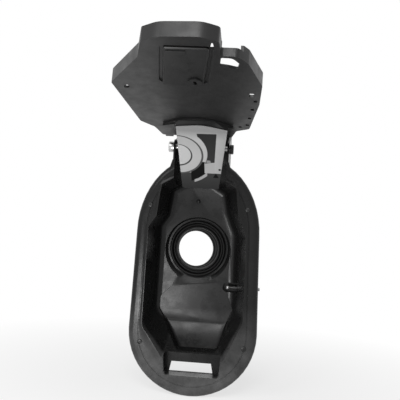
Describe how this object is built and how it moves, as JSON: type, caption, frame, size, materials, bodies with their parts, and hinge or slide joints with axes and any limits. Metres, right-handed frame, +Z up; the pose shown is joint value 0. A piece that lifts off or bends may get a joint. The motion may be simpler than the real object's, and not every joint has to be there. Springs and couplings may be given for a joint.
{
  "type": "fuel filler flap",
  "caption": "Moulded fuel filler recess with a rubber neck ring and an arm-hinged flap carrier that swings up and open.",
  "frame": {"origin": "on the flange's rear seat face, on the flange's centre line below the latch slot", "axes": "+X across the recess to the right seen from outside, +Y back into the car, +Z up"},
  "size_m": [0.1525, 0.3092, 0.3706],
  "materials": {
    "moulding": "satin moulded black",
    "carrier": "fine grained moulded black",
    "rubber": "smooth",
    "steel": "bright zinc",
    "lock_steel": "dark",
    "fixing_black": "black",
    "face_plate": "printed light grey"
  },
  "bodies": {
    "housing": {"housing_tray": "moulding", "neck_grommet": "rubber", "hinge_pin": "steel", "pin_bush": "steel", "pin_cap": "fixing_black", "housing_screw_1": "fixing_black", "housing_screw_2": "fixing_black", "housing_screw_3": "fixing_black", "housing_screw_4": "fixing_black", "floor_clip": "fixing_black", "lock_bush": "fixing_black"},
    "flap": {"hinge_arm": "moulding", "arm_face_plate": "face_plate", "flap_carrier": "carrier"},
    "lock": {"lock_pin": "lock_steel"}
  },
  "joints": [
    {"name": "flap_hinge", "type": "hinge", "parent": "housing", "child": "flap", "pos_m": [0, 0.006, 0.2775], "axis": [1, 0, 0], "range_deg": [0, 102.5]},
    {"name": "lock_slide", "type": "slide", "parent": "housing", "child": "lock", "axis": [1, 0, 0], "range_m": [0, 0.007]}
  ]
}
